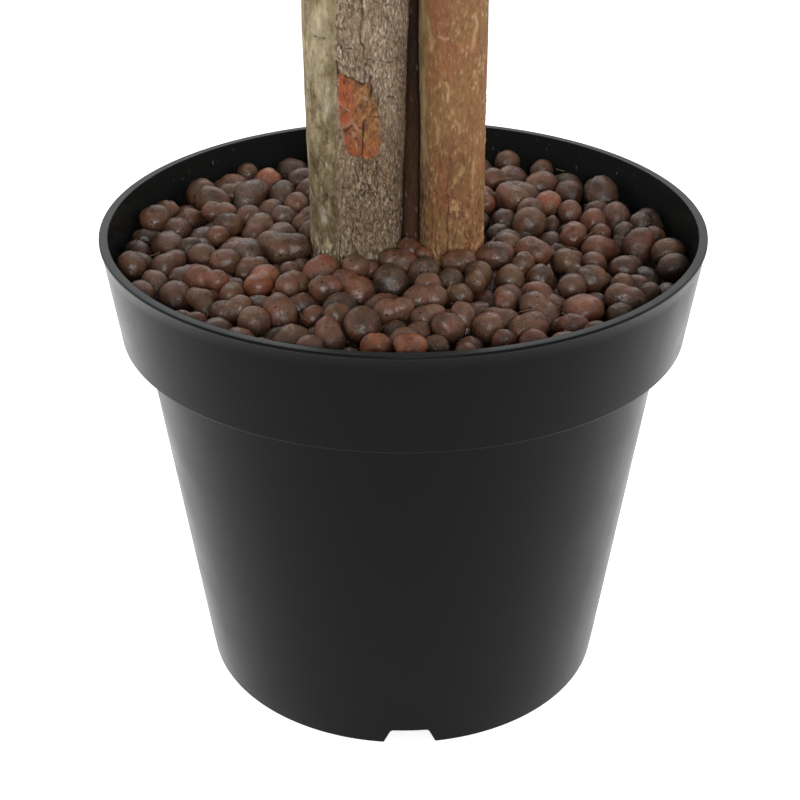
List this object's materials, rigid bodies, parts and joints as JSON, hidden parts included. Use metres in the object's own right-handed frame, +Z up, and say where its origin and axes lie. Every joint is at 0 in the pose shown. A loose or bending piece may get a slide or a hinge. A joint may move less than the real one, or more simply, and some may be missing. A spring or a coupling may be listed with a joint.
{
  "type": "standard lollipop topiary in nursery pot",
  "caption": "Standard topiary: a clipped ball of evergreen leaves on natural wood stems, in a round black nursery pot topped with clay pebbles.",
  "frame": {"origin": "centre of the pot's underside, on the ground", "axes": "+Z up along the pot's axis, -Y towards the viewer of the front, +X to the viewer's right"},
  "size_m": [0.52, 0.52, 1.3],
  "materials": {
    "pot_plastic": "satin black moulded",
    "clay": "fired clay, matt to satin",
    "grey_bark": "grey-green fissured bark",
    "brown_bark": "orange-brown stripped bark",
    "dark_stem": "dark brown smooth",
    "bough_bark": "grey-brown bark",
    "foliage": "glossy evergreen leaves"
  },
  "bodies": {
    "root": {"pot": "pot_plastic", "pebble_fill": "clay", "trunk_left": "grey_bark", "trunk_right": "brown_bark", "slim_stem": "dark_stem", "bough_left_leader": "bough_bark", "bough_left_side": "bough_bark", "bough_left_front": "bough_bark", "bough_right_leader": "bough_bark", "bough_right_side": "bough_bark", "bough_right_back": "bough_bark", "foliage_ball": "foliage"}
  },
  "joints": []
}
